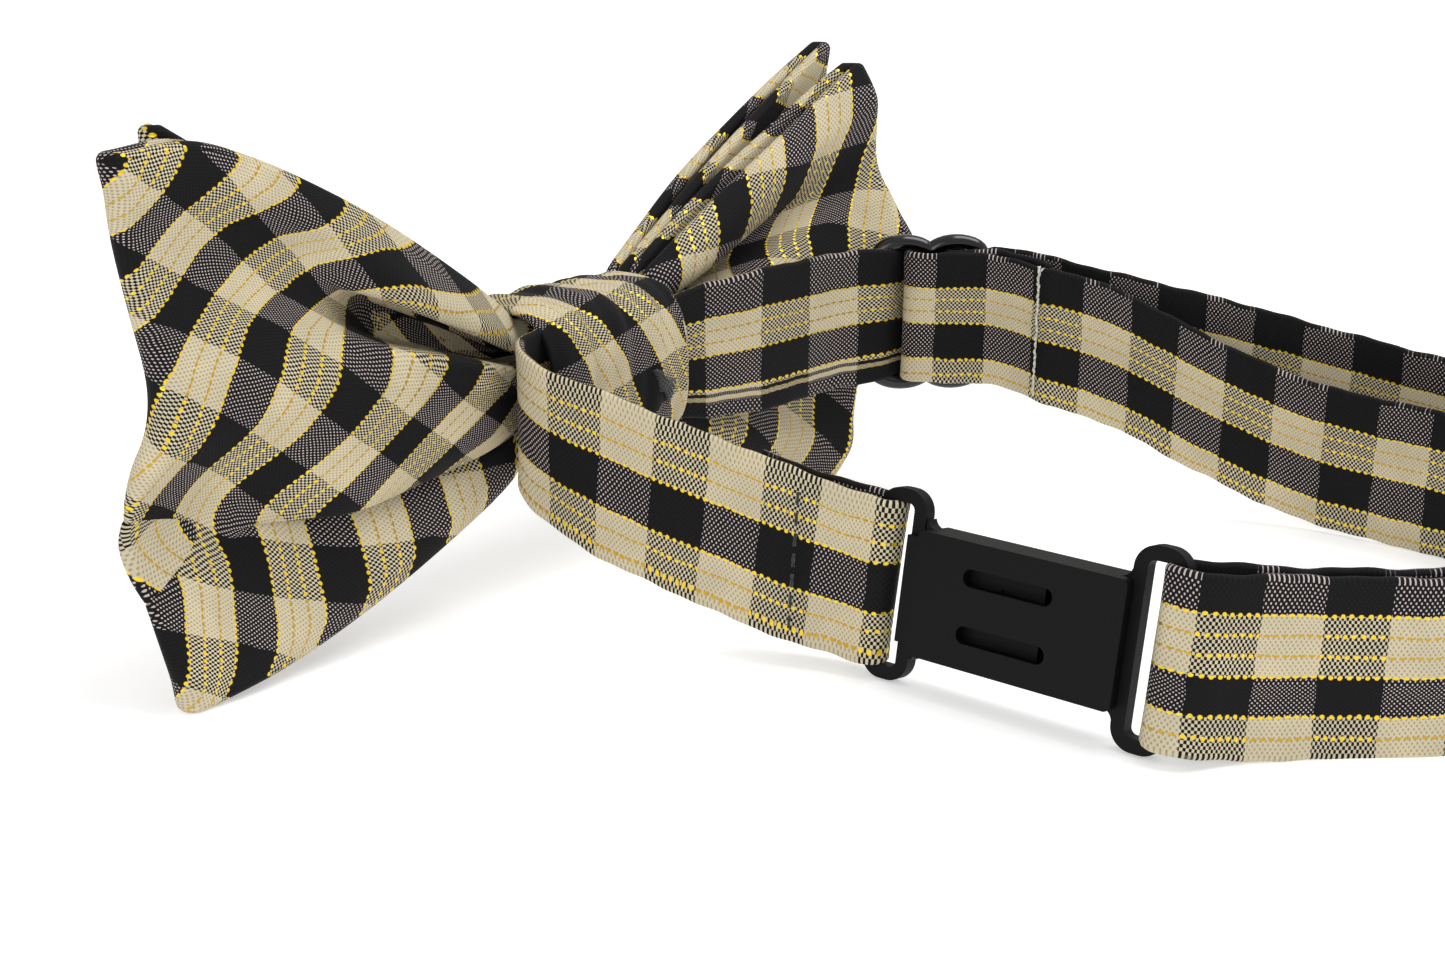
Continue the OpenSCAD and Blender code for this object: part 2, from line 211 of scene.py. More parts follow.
class Graph:
    """Writes a material's node graph as short expressions."""

    def __init__(self, name):
        self.material = bpy.data.materials.new(name)
        self.material.use_nodes = True
        self.tree = self.material.node_tree
        self.shader = self.tree.nodes["Principled BSDF"]

    def put(self, socket, value):
        if isinstance(value, bpy.types.NodeSocket):
            self.tree.links.new(value, socket)
        else:
            socket.default_value = value

    def node(self, kind, inputs=(), **settings):
        node = self.tree.nodes.new(kind)
        for key, value in settings.items():
            setattr(node, key, value)
        for key, value in dict(inputs).items():
            self.put(node.inputs[key], value)
        return node

    def math(self, operation, *values):
        node = self.node("ShaderNodeMath", operation=operation)
        for i, value in enumerate(values):
            self.put(node.inputs[i], value)
        return node.outputs[0]

    def step(self, value, low, high):
        """0 below low and 1 above high, smooth between."""
        node = self.node("ShaderNodeMapRange", interpolation_type="SMOOTHSTEP")
        self.put(node.inputs["Value"], value)
        node.inputs["From Min"].default_value = low
        node.inputs["From Max"].default_value = high
        return node.outputs[0]

    def mix(self, factor, a, b):
        node = self.node("ShaderNodeMix", data_type="RGBA")
        self.put(node.inputs[0], factor)
        self.put(node.inputs[6], a)
        self.put(node.inputs[7], b)
        return node.outputs[2]

    def noise(self, vector, scale, detail=2.0, out=0):
        node = self.node("ShaderNodeTexNoise", {"Scale": scale, "Detail": detail})
        if vector is not None:
            self.put(node.inputs["Vector"], vector)
        return node.outputs[out]

    def bump(self, height, strength, distance):
        node = self.node("ShaderNodeBump", {"Strength": strength, "Distance": distance, "Height": height})
        self.put(self.shader.inputs["Normal"], node.outputs[0])

    def set(self, **values):
        for key, value in values.items():
            self.put(self.shader.inputs[key.replace("_", " ")], value)
        return self.material


ROW_PERIOD = 13.7       # cream row and black row
CREAM_ROW = 7.2
COLUMN_PERIOD = 14.0    # black column and cream column
GOLD_SPACING = 2.4      # four gold threads a cream row
BEAD_PITCH = 0.95
THREAD_PITCH = (0.28, 0.40)

BLACK = colour(8, 7, 9)
# painted sheen: the lighter black on the raised threads of plain black cloth
BLACK_SHEEN = colour(20, 18, 20)
CHARCOAL = colour(14, 11, 13)
CHARCOAL_DOT = colour(196, 184, 180)
CREAM = colour(206, 195, 165)
# painted shade: the darker cream in the hollows between the threads of plain cream cloth
CREAM_SHADE = colour(160, 148, 120)
GOLD = colour(232, 196, 44)
GOLD_DARK = colour(190, 150, 40)


def plaid_material():
    """Plaid weave. The map named cloth holds the column and row coordinates in millimetres."""
    g = Graph("plaid_weave")
    place = g.node("ShaderNodeUVMap", uv_map="cloth").outputs[0]
    wobble = g.noise(place, 0.30, 1.0, out=1)
    shifted = g.node("ShaderNodeVectorMath", operation="MULTIPLY_ADD")
    g.put(shifted.inputs[0], wobble)
    shifted.inputs[1].default_value = (0.5, 0.5, 0)
    g.put(shifted.inputs[2], place)
    split = g.node("ShaderNodeSeparateXYZ", {0: shifted.outputs[0]})
    column, row = split.outputs[0], split.outputs[1]

    row_place = g.math("FLOORED_MODULO", row, ROW_PERIOD)
    in_cream_row = g.math("LESS_THAN", row_place, CREAM_ROW)
    in_black_column = g.math("LESS_THAN", g.math("FLOORED_MODULO", column, COLUMN_PERIOD), COLUMN_PERIOD / 2)

    wave_a = g.math("COSINE", g.math("MULTIPLY", column, math.pi / THREAD_PITCH[0]))
    wave_b = g.math("COSINE", g.math("MULTIPLY", row, math.pi / THREAD_PITCH[1]))
    weave = g.math("MULTIPLY", wave_a, wave_b)
    # Plain black gets a painted sheen on its raised threads, and plain cream gets painted shade in the
    # weave's hollows.
    black = g.mix(g.step(weave, 0.1, 0.9), BLACK, BLACK_SHEEN)
    charcoal = g.mix(g.step(weave, 0.34, 0.66), CHARCOAL, CHARCOAL_DOT)
    checker = g.mix(g.step(weave, -0.15, 0.2), BLACK, CREAM)
    cream = g.mix(g.step(weave, -0.9, 0.1), CREAM_SHADE, CREAM)
    dark_row = g.mix(in_black_column, charcoal, black)
    light_row = g.mix(in_black_column, cream, checker)
    cloth = g.mix(in_cream_row, dark_row, light_row)
    worn = g.step(g.noise(place, 0.12, 3.0), 0.3, 0.8)
    shade = g.mix(worn, (0.84, 0.84, 0.85, 1), (1.0, 0.99, 0.97, 1))
    tinted = g.node("ShaderNodeMix", data_type="RGBA", blend_type="MULTIPLY")
    g.put(tinted.inputs[0], 1.0)
    g.put(tinted.inputs[6], cloth)
    g.put(tinted.inputs[7], shade)
    cloth = tinted.outputs[2]

    margin = 0.3
    line_place = g.math("FLOORED_MODULO", g.math("ADD", row, margin), ROW_PERIOD)
    in_lines = g.math("LESS_THAN", line_place, CREAM_ROW + 2 * margin)
    from_first = g.math("ADD", line_place, GOLD_SPACING / 2 - margin)
    line_number = g.math("FLOOR", g.math("DIVIDE", from_first, GOLD_SPACING))
    off_line = g.math("ABSOLUTE", g.math("SUBTRACT", g.math("FLOORED_MODULO", from_first, GOLD_SPACING),
                                         GOLD_SPACING / 2))
    phase = g.math("MULTIPLY", line_number, 0.5)
    bead_place = g.math("FRACT", g.math("ADD", g.math("DIVIDE", column, BEAD_PITCH), phase))
    off_bead = g.math("MULTIPLY", g.math("ABSOLUTE", g.math("SUBTRACT", bead_place, 0.5)), BEAD_PITCH)
    on_cream = g.math("SUBTRACT", 1.0, in_black_column)
    bead_half = g.math("ADD", 0.27, g.math("MULTIPLY", on_cream, 0.10))
    line_half = g.math("SUBTRACT", 0.26, g.math("MULTIPLY", on_cream, 0.08))
    bead = g.math("ADD", g.math("POWER", g.math("DIVIDE", off_line, line_half), 2.0),
                  g.math("POWER", g.math("DIVIDE", off_bead, bead_half), 2.0))
    bead = g.math("SUBTRACT", 1.0, g.step(bead, 0.7, 1.15))
    bead = g.math("MULTIPLY", bead, in_lines)
    inner_line = g.math("LESS_THAN", g.math("ABSOLUTE", g.math("SUBTRACT", line_number, 1.5)), 1.0)
    dull = g.math("MULTIPLY", inner_line, on_cream)
    gold = g.mix(dull, GOLD, GOLD_DARK)
    base = g.mix(bead, cloth, gold)

    height = g.math("ADD", g.math("MULTIPLY", weave, 0.5), g.math("MULTIPLY", bead, 1.4))
    g.bump(height, 0.35, 0.00012)
    metal = g.math("MULTIPLY", bead, 0.55)
    rough = g.math("SUBTRACT", 0.8, g.math("MULTIPLY", bead, 0.48))
    return g.set(Base_Color=base, Metallic=metal, Roughness=rough, Sheen_Weight=0.03, Sheen_Roughness=0.4,
                 Specular_IOR_Level=0.2)


def plastic_material(name, roughness, grain, tint, shine):
    """Moulded plastic: fine grain, and a slow drift of tone and roughness."""
    g = Graph(name)
    fine = g.noise(None, 900.0, 3.0)
    wear = g.noise(None, 60.0, 4.0)
    base = g.mix(g.step(wear, 0.4, 0.8), tint, tuple(c * 1.4 for c in tint[:3]) + (1,))
    g.bump(fine, grain, 0.00008)
    rough = g.math("ADD", g.math("MULTIPLY", wear, 0.14), roughness - 0.07)
    return g.set(Base_Color=base, Roughness=rough, Specular_IOR_Level=shine)


def thread_material(name, tint):
    """Twisted thread: fine slanted ribs."""
    g = Graph(name)
    where = g.node("ShaderNodeTexCoord").outputs["Object"]
    wave = g.node("ShaderNodeTexWave", {"Vector": where, "Scale": 900.0, "Distortion": 1.5},
                  wave_type="BANDS", bands_direction="DIAGONAL").outputs[1]
    base = g.mix(g.math("MULTIPLY", wave, 0.35), tint, tuple(c * 0.45 for c in tint[:3]) + (1,))
    g.bump(wave, 0.5, 0.0001)
    return g.set(Base_Color=base, Roughness=0.75, Sheen_Weight=0.3)


def felt_material():
    """Soft off-white interlining inside the loops."""
    g = Graph("interlining_felt")
    fibre = g.noise(None, 700.0, 5.0)
    base = g.mix(fibre, colour(206, 204, 196), colour(240, 238, 230))
    g.bump(fibre, 0.6, 0.0002)
    return g.set(Base_Color=base, Roughness=0.9)


def floor_material():
    g = Graph("pale_floor")
    base = g.mix(g.noise(None, 3.0), colour(228, 228, 228), colour(232, 232, 232))
    return g.set(Base_Color=base, Roughness=0.6, Specular_IOR_Level=0.1, Emission_Color=(1, 1, 1, 1),
                 Emission_Strength=0.42)


PLAID = plaid_material()
CLIP_PLASTIC = plastic_material("clip_plastic_matt", 0.55, 0.12, colour(5, 5, 6), 0.16)
SLIDER_PLASTIC = plastic_material("slider_plastic_gloss", 0.14, 0.03, colour(4, 4, 5), 0.5)
BLACK_THREAD = thread_material("black_thread_twist", colour(24, 22, 24))
WHITE_THREAD = thread_material("white_thread_twist", colour(214, 208, 196))
FELT = felt_material()


# ---------- camera, light and floor ----------
CAMERA_PLACE = (173.6, 165.7, 85.9)
CAMERA_TURN = math.radians(129.0)
CAMERA_RISE = math.radians(17.3)
CAMERA_LENS = 47.0
FLOOR_HALF = 4000.0
FLOOR_Z = -0.02


def add_camera():
    data = bpy.data.cameras.new("camera")
    data.lens = CAMERA_LENS
    data.sensor_width = 36.0
    data.clip_start = 0.005
    data.clip_end = 50.0
    camera = bpy.data.objects.new("camera", data)
    camera.location = [c * MM for c in CAMERA_PLACE]
    camera.rotation_euler = (math.pi / 2 - CAMERA_RISE, 0, CAMERA_TURN)
    bpy.context.scene.collection.objects.link(camera)
    bpy.context.scene.camera = camera


def add_light(name, place, target, size, watts):
    data = bpy.data.lights.new(name, "AREA")
    data.shape = "RECTANGLE"
    data.size, data.size_y = size
    data.energy = watts
    light = bpy.data.objects.new(name, data)
    light.location = place
    aim = Vector(target) - Vector(place)
    light.rotation_euler = aim.to_track_quat("-Z", "Y").to_euler()
    bpy.context.scene.collection.objects.link(light)


def add_studio():
    world = bpy.data.worlds.new("studio")
    world.use_nodes = True
    background = world.node_tree.nodes["Background"]
    background.inputs[0].default_value = (1, 1, 1, 1)
    background.inputs[1].default_value = 0.72
    bpy.context.scene.world = world
    add_light("key", (-0.25, 0.30, 0.75), (0, 0.03, 0.02), (0.5, 0.5), 4.0)
    add_light("side", (0.75, 0.35, 0.35), (0, 0.03, 0.02), (0.5, 0.4), 1.6)
    corners = [(x * FLOOR_HALF, y * FLOOR_HALF, FLOOR_Z) for x, y in ((-1, -1), (1, -1), (1, 1), (-1, 1))]
    floor = mesh_object("floor", corners, [(0, 1, 2, 3)], floor_material())
    bpy.context.scene.view_settings.view_transform = "Standard"


add_camera()
add_studio()

# ---------- bow ----------
MID_Z = 27.0
CLOTH_WIDTH = 64.0

# One section of a wing's outer ply: share of the height, depth, share of the cloth's width
GATHERED = [
    (0.00, 1.5, 0.00), (0.08, 3.0, 0.06), (0.20, 0.5, 0.13), (0.33, -2.5, 0.19), (0.38, -3.2, 0.22),
    (0.34, -1.0, 0.25), (0.26, 1.5, 0.29), (0.27, 3.2, 0.33), (0.35, 4.3, 0.40), (0.50, 4.8, 0.50),
    (0.58, 4.4, 0.58), (0.64, 3.3, 0.64), (0.65, -1.6, 0.69), (0.67, -5.2, 0.72), (0.78, -5.2, 0.75),
    (0.82, -1.6, 0.78), (0.795, 2.2, 0.82), (0.84, 3.9, 0.88), (0.93, 3.2, 0.94), (1.00, 1.0, 1.00),
]
# Depth of the same points where the folds have opened, near the tips
OPEN_NEAR = [0.4, 0.2, -0.8, -2.2, -3.0, -3.6, -4.0, -3.6, -1.4, 1.5,
             2.3, 1.9, 1.2, 0.8, 0.5, 0.3, 0.2, 0.2, 0.1, 0.0]
OPEN_FAR = [0.6, 1.2, 0.0, -1.2, -1.6, -1.4, -0.8, 0.2, 1.2, 1.8,
            1.6, 0.8, -0.2, -0.9, -1.3, -1.3, -0.7, 0.6, 1.0, 0.2]
HEM = range(2, 9)       # points of the lower fold
CAVE = range(11, 18)    # points of the hollow under the upper lobe

# A wing: tip distance by share of the height, edges by distance from the knot, fading of the two folds
NEAR_REAR = dict(
    side=1, tip_swing=0.0,
    tip=[(0, 61.2), (0.15, 63.6), (0.26, 65.2), (0.36, 66.0), (0.45, 64.8), (0.53, 62.4), (0.62, 61.8),
         (0.75, 63.2), (0.88, 64.4), (1, 64.6)],
    top=[(0, 34.4), (11, 34.6), (14, 36.8), (20, 41.2), (32, 49.2), (42, 54.9), (50, 58.8), (57, 61.0),
         (64.6, 60.6)],
    bottom=[(0, 19.6), (11, 19.4), (14.2, 15.9), (29, 10.1), (42, 5.3), (51, 2.6), (61.2, 0.9)],
    hem_fade=[(0, 1), (38, 1), (58, 0)], cave_fade=[(0, 1), (30, 1), (46, 0)], open=OPEN_NEAR,
    outer=[(0, 0.5), (0.2, 0.6), (0.5, 1.6), (0.8, 1.0), (1, 0.2)],
    inner=[(0, -1.8), (0.2, -1.8), (0.5, -2.4), (0.8, -2.2), (1, -1.6)],
)
FAR_REAR = dict(
    side=-1, tip=[(0, 53.5), (0.2, 57.5), (0.5, 62.5), (0.75, 61.0), (1, 59.0)], tip_swing=5.5,
    top=[(0, 34.4), (11, 34.6), (15, 37.6), (24, 42.6), (33, 47.4), (45, 53.6), (55, 59.2), (60.5, 62.0)],
    bottom=[(0, 19.6), (11, 19.4), (15, 16.2), (24, 12.0), (37, 7.6), (47, 3.6), (53.5, 0.9)],
    hem_fade=[(0, 1), (30, 1), (52, 0)], cave_fade=[(0, 0.9), (20, 0.7), (56, 0)], open=OPEN_FAR,
    outer=[(0, 0.5), (0.2, 0.5), (0.5, 0.6), (0.8, 1.4), (1, 2.4)],
    inner=[(0, -1.8), (0.2, -1.8), (0.5, -2.6), (0.8, -1.6), (1, 0.4)],
)
NEAR_FRONT = dict(
    side=1, tip=[(0, 54.0), (0.5, 56.0), (1, 56.6)], tip_swing=0.0,
    top=[(0, 34.2), (11, 34.2), (15, 37.8), (24, 43.6), (33, 48.4), (45, 55.0), (52, 59.4), (56.6, 62.2)],
    bottom=[(0, 19.8), (11, 19.6), (15, 16.0), (24, 12.0), (37, 7.6), (50, 3.0), (55, 1.4)],
    hem_fade=[(0, 1), (34, 1), (52, 0)], cave_fade=[(0, 1), (24, 1), (42, 0)], open=OPEN_NEAR,
    outer=[(0, -5.2), (0.2, -5.2), (0.5, -7.6), (0.8, -7.2), (1, -5.8)],
    inner=[(0, -3.6), (0.2, -3.6), (0.5, -4.8), (0.8, -4.8), (1, -4.2)],
)
FAR_FRONT = dict(
    side=-1, tip=[(0, 52.0), (0.5, 56.5), (1, 59.0)], tip_swing=0.0,
    top=[(0, 34.2), (11, 34.4), (15, 37.4), (24, 42.4), (33, 48.0), (45, 55.4), (54, 61.0), (59, 64.0)],
    bottom=[(0, 19.8), (11, 19.6), (15, 16.0), (24, 12.0), (37, 7.6), (48, 3.0), (52, 1.4)],
    hem_fade=[(0, 1), (34, 1), (50, 0)], cave_fade=[(0, 1), (24, 1), (42, 0)], open=OPEN_FAR,
    outer=[(0, -5.2), (0.2, -5.2), (0.5, -7.8), (0.8, -7.0), (1, -5.0)],
    inner=[(0, -3.6), (0.2, -3.6), (0.5, -5.0), (0.8, -4.4), (1, -3.4)],
)
STATIONS = 66
SECTION_STEPS = 5
TIP_STEPS = 7
PLEATS = 7.5            # fine pleats over the cloth's width
PLEAT_DEPTH = 0.22
LOWER_SEAM = (0.20, 0.27)    # shares of the cloth's width between which the lobes' lengths are blended
UPPER_SEAM = (0.68, 0.76)
LOBE_MIDDLE = 0.45
PLY_HALF = 0.5
EDGE_PUFF = 0.42
EDGE_SHARE = 0.035      # share of the cloth's width that the puffed edge takes
LINING_MARGIN = 6       # points that the lining stops short of the ply's edges
LINING_HALF = 0.2


def smooth_rows(rows):
    """A wing's table with a curve between its rows."""
    return smooth(rows, 6)


def wing_section(wing, share, facing, depth_scale):
    """Points and cloth coordinate of a ply at a share of the way to the tip."""
    cloth = np.array([row[2] for row in GATHERED])
    reach = lookup(1.0, wing["tip"]) * share
    hem = eased(reach, wing["hem_fade"])
    cave = eased(reach, wing["cave_fade"])
    elsewhere = (0.5 + 0.5 * hem) * 0.6
    fold = np.array([hem if i in HEM else cave if i in CAVE else elsewhere for i in range(len(GATHERED))])
    gathered_height, gathered_depth, _ = np.array(GATHERED).T
    height = gathered_height * fold + cloth * (1 - fold)
    tight = lookup(reach, [(0, 0.55), (12, 0.6), (20, 0.95), (30, 1.0), (64, 1.0)])
    depth = (gathered_depth * fold + np.array(wing["open"]) * (1 - fold)) * tight
    fine = smooth(np.column_stack([height, depth, cloth]), SECTION_STEPS)
    height, depth, cloth = fine.T
    x = wing["side"] * share * lookup(np.clip(height, 0, 1), smooth_rows(wing["tip"]))
    low = lookup(share * lookup(0, wing["tip"]), smooth_rows(wing["bottom"]))
    high = lookup(share * lookup(1, wing["tip"]), smooth_rows(wing["top"]))
    swing = wing["tip_swing"] * np.sin(np.pi * np.clip(height, 0, 1)) * share ** 5
    pleat = PLEAT_DEPTH * np.sin(cloth * 2 * np.pi * PLEATS + 1.0)
    pleat *= lookup(reach, [(0, 0.4), (12, 1), (28, 0.7), (45, 0)])
    y = facing * (depth * depth_scale + pleat) + swing
    z = low + (high - low) * height
    return np.column_stack([x, y, z]), cloth


def cloth_across(points, cloth):
    """Cloth coordinate across a section: true lengths on each lobe, with the jumps inside the folds."""
    run = lengths(points[:, 1:])
    half = CLOTH_WIDTH / 2
    middle = np.interp(LOBE_MIDDLE, cloth, run)
    bottom_lobe = -half + run
    top_lobe = half - (run[-1] - run)
    middle_lobe = -half + CLOTH_WIDTH * LOBE_MIDDLE + (run - middle)
    low, high = [np.clip((cloth - a) / (b - a), 0, 1) for a, b in (LOWER_SEAM, UPPER_SEAM)]
    across = bottom_lobe * (1 - low) + middle_lobe * low
    return across * (1 - high) + top_lobe * high


def loop_wing(wing, facing):
    """Middle surface of a wing: out along the outer ply, round the tip and back along the inner ply.

    Also returns each point's place across the cloth, its distance from the knot along the cloth, and the
    section's shares of the cloth's width.
    """
    shares = 1 - (1 - np.linspace(0, 1, STATIONS)) ** 1.25
    outer_depth, inner_depth = (1.0, 0.3) if facing > 0 else (0.5, 0.0)
    outer, inner, across_rows, distance = [], [], [], []
    for share in shares:
        points, cloth = wing_section(wing, share, facing, outer_depth)
        inside = points.copy()
        inside[:, 1] *= inner_depth
        points[:, 1] += lookup(share, smooth_rows(wing["outer"]))
        inside[:, 1] += lookup(share, smooth_rows(wing["inner"]))
        outer.append(points)
        inner.append(inside)
        across_rows.append(cloth_across(points, cloth))
        distance.append(np.abs(points[:, 0]))
    tip = []
    last = STATIONS - 1
    end, start = outer[-1], inner[-1]
    gap = np.abs(end[:, 1] - start[:, 1]) / 2
    centre = (end + start) / 2
    for a in np.linspace(0, math.pi, TIP_STEPS + 2)[1:-1]:
        ring = centre.copy()
        ring[:, 0] += wing["side"] * gap * math.sin(a)
        ring[:, 1] += (end[:, 1] - centre[:, 1]) * math.cos(a)
        tip.append(ring)
        across_rows.append(across_rows[last])
        distance.append(distance[last] + gap * a)
    for i in range(STATIONS):
        across_rows.append(across_rows[last - i])
        distance.append(distance[last] + gap * math.pi + (distance[last] - distance[last - i]))
    mid = np.array(outer + tip + inner[::-1])
    return mid, np.array(across_rows), np.array(distance), cloth


def ply_half(cloth, count):
    """Half thickness over a ply: thin in the middle, puffed at its folded edges."""
    edge = np.minimum(cloth, 1 - cloth)
    half = PLY_HALF + EDGE_PUFF * np.exp(-(edge / EDGE_SHARE) ** 2)
    return np.tile(half, (count, 1))


def turned_cloth(angle, stretch, row_shift, column_shift):
    """Cloth laid at one angle over a wing: column and row by distance from the knot and place across."""
    a = math.radians(angle)

    def place(x, across):
        x = x * stretch
        return (x * math.cos(a) - across * math.sin(a) + column_shift,
                x * math.sin(a) + across * math.cos(a) + row_shift)
    return place


TABLE_PITCH = 10        # both tables of a draped cloth have a place every 10 mm
TABLE_TOP = 30          # from 30 mm above the loop's middle down to 30 mm below it
TABLE_START = 15        # and from 15 mm from the knot outwards
TABLE_STEPS = 8


def draped_cloth(rows, columns):
    """Cloth whose check turns between the lobes of a wing: row numbers and column places in two tables."""
    tables = [smooth(smooth(table, TABLE_STEPS).T, TABLE_STEPS) for table in (rows, columns)]
    table_end = TABLE_START + TABLE_PITCH * (len(rows[0]) - 1)

    def place(x, across):
        down = np.clip((TABLE_TOP - across) / TABLE_PITCH, 0, len(rows) - 1) * TABLE_STEPS
        out = np.clip((x - TABLE_START) / TABLE_PITCH, 0, len(rows[0]) - 1) * TABLE_STEPS
        i = np.clip(out.astype(int), 0, tables[0].shape[0] - 2)
        j = np.clip(down.astype(int), 0, tables[0].shape[1] - 2)
        u, v = out - i, down - j
        row_number, column = [(t[i, j] * (1 - u) + t[i + 1, j] * u) * (1 - v)
                              + (t[i, j + 1] * (1 - u) + t[i + 1, j + 1] * u) * v for t in tables]
        beyond = x - np.clip(x, TABLE_START, table_end)
        over = across - np.clip(across, -TABLE_TOP, TABLE_TOP)
        row = row_number * ROW_PERIOD + CREAM_ROW / 2 + 0.9 * beyond + 0.7 * over
        return column + 0.7 * beyond - 0.9 * over, row
    return place


def bow_loop(name, wings, facing, cloths, node, lining_node):
    """Both wings of a loop as one sheet, and its felt. facing is 1 for the rear loop, -1 for the front."""
    parts, lining = [], []
    for wing, cloth_place in zip(wings, cloths):
        mid, across, distance, cloth = loop_wing(wing, facing)
        if wing["side"] * facing > 0:
            mid, across, distance, cloth = mid[:, ::-1], across[:, ::-1], distance[:, ::-1], cloth[::-1]
        half = ply_half(cloth, len(mid))
        rings, ring_s = ribbon(mid, half, across)
        front = np.concatenate([distance[:, :1]] * 3 + [distance] + [distance[:, -1:]] * 3, axis=1)
        ring_x = wing["side"] * np.concatenate([front, front[:, ::-1], front[:, :1]], axis=1)
        turn = ring_s[:, :1] + ring_s[:, -2:-1]
        ring_s = np.where(np.arange(ring_s.shape[1]) < front.shape[1], ring_s, turn - ring_s)
        uv = np.stack(cloth_place(ring_x, ring_s), axis=-1)
        parts.append(loft(rings, uv))
        inset = slice(LINING_MARGIN, -LINING_MARGIN)
        rings, _ = ribbon(mid[:, inset], np.full(mid[:, inset].shape[:2], LINING_HALF), across[:, inset], 1)
        lining.append(loft(rings))
    vertices, faces, uvs = join(parts)
    obj = mesh_object(name, vertices, faces, PLAID, uvs, "bow_and_band")
    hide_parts(node)
    vertices, faces, _ = join(lining)
    felt = mesh_object(name + "_felt", vertices, faces, FELT, None, "bow_and_band")
    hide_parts(lining_node)


# Number of the cream row at each place of the near wing
NEAR_ROWS = [
    [3.0, 3.45, 3.9, 4.65, 5.4, 6.2],
    [2.3, 2.6, 2.85, 3.65, 4.45, 5.25],
    [1.3, 1.85, 2.4, 3.1, 3.85, 4.5],
    [0.65, 1.35, 2.0, 2.65, 3.35, 4.1],
    [-0.7, 0.0, 0.85, 1.75, 2.7, 3.75],
    [-0.7, 0.1, 0.9, 1.7, 2.75, 3.6],
    [-0.6, 0.2, 0.95, 1.7, 2.5, 3.4],
]
# Column coordinate at the same places, in millimetres
NEAR_COLUMNS = [
    [-44, -34, -26.5, -20.7, -13.5, -6.3],
    [-36, -27, -18.6, -11.4, -4.2, 3.0],
    [-24, -16.5, -9.3, -2.1, 5.1, 12.3],
    [-14.4, -7.2, 0, 7.2, 14.4, 21.6],
    [-3, 3, 9.3, 16.5, 23.7, 31],
    [10, 15, 20, 26, 33, 40],
    [21, 26, 31, 37, 44, 51],
]
REAR_CLOTH = [draped_cloth(NEAR_ROWS, NEAR_COLUMNS), turned_cloth(68, 1.0, -0.6, 0.0)]
FRONT_CLOTH = [turned_cloth(45, 1.2, 3.0, 2.0), turned_cloth(45, 1.2, -2.0, 4.0)]
bow_loop("rear_loop", [NEAR_REAR, FAR_REAR], 1, REAR_CLOTH, "rear_bow_loop", "rear_loop_interlining")
bow_loop("front_loop", [NEAR_FRONT, FAR_FRONT], -1, FRONT_CLOTH, "front_bow_loop", "front_loop_interlining")

# ---------- knot ----------
KNOT_LENGTH = 24.0
KNOT_HALF_DEPTH = 8.5
KNOT_HALF_HEIGHT = 9.65
KNOT_ROUNDNESS = 2.9    # exponent of the wrap's rounded box section
KNOT_PLY_HALF = 0.55
KNOT_ACROSS = 44
KNOT_ROUND = 96
KNOT_RIM = 6


def knot_middle():
    """Middle surface of the wrap, [along the bow, round it, 3]: a swollen barrel with soft folds round it."""
    t = np.radians(-90 + (np.arange(KNOT_ROUND) + 0.5) * 360 / KNOT_ROUND)
    c, s = np.cos(t), np.sin(t)
    power = 2 / KNOT_ROUNDNESS
    rows = []
    for i in range(KNOT_ACROSS + 1):
        x = (i / KNOT_ACROSS - 0.5) * KNOT_LENGTH
        swell = math.cos(math.pi / 2 * abs(x) / (KNOT_LENGTH * 0.8))
        fold = 0.28 * np.sin(x * 0.85 + 0.6 * np.sin(t * 2 + 0.4)) + 0.16 * np.sin(x * 1.9 + 1.3 * np.sin(t))
        y = np.sign(c) * np.abs(c) ** power * (KNOT_HALF_DEPTH + 0.8 * swell + fold) - 0.1
        z = MID_Z + np.sign(s) * np.abs(s) ** power * (KNOT_HALF_HEIGHT + 0.7 * swell + fold)
        rows.append(np.column_stack([np.full(KNOT_ROUND, x), y, z]))
    return np.array(rows)


def knot_rim(outer, inner, sign):
    """Rolled end of the wrap, from its outer edge to its inner one."""
    centre = (outer + inner) / 2
    rings = []
    for a in np.linspace(0, math.pi, KNOT_RIM)[1:-1]:
        ring = centre + (outer - centre) * math.cos(a)
        ring[:, 0] += sign * KNOT_PLY_HALF * math.sin(a)
        rings.append(ring)
    return rings


def knot_wrap():
    """Wrap of folded cloth round both loops: an open sleeve with rolled ends."""
    mid = knot_middle()
    closed = np.concatenate([mid[:, -1:], mid, mid[:, :1]], axis=1)
    normal = unit(np.cross(np.gradient(mid, axis=0), (closed[:, 2:] - closed[:, :-2]) / 2))
    outer = mid - normal * KNOT_PLY_HALF
    inner = mid + normal * KNOT_PLY_HALF
    grid = np.array(list(outer) + knot_rim(outer[-1], inner[-1], 1) + list(inner[::-1])
                    + knot_rim(outer[0], inner[0], -1)[::-1])
    n, m = grid.shape[:2]
    girth = lengths(np.vstack([outer[KNOT_ACROSS // 2], outer[KNOT_ACROSS // 2][:1]]))
    run = lengths(grid[:, 0])
    run = np.append(run, run[-1] + 0.4)
    faces, uvs = [], []
    for i in range(n):
        for j in range(m):
            k, q = (j + 1) % m, (i + 1) % n
            faces.append((i * m + j, i * m + k, q * m + k, q * m + j))
            for r, c in ((i, j), (i, j + 1), (i + 1, j + 1), (i + 1, j)):
                uvs.append(knot_cloth(girth[c], run[r]))
    obj = mesh_object("knot", grid.reshape(-1, 3), faces, PLAID, uvs, "bow_and_band")
    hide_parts("knot_wrap")


def knot_cloth(round_it, along):
    """Column and row on the wrap: its cloth spirals a little, so both turn against the barrel."""
    a, b = math.radians(12), math.radians(27)
    column = round_it * math.cos(a) + along * math.sin(a)
    row = along * math.cos(b) - round_it * math.sin(b)
    return (column - 24.4) * 1.15, row * 1.2 + 9.8


knot_wrap()

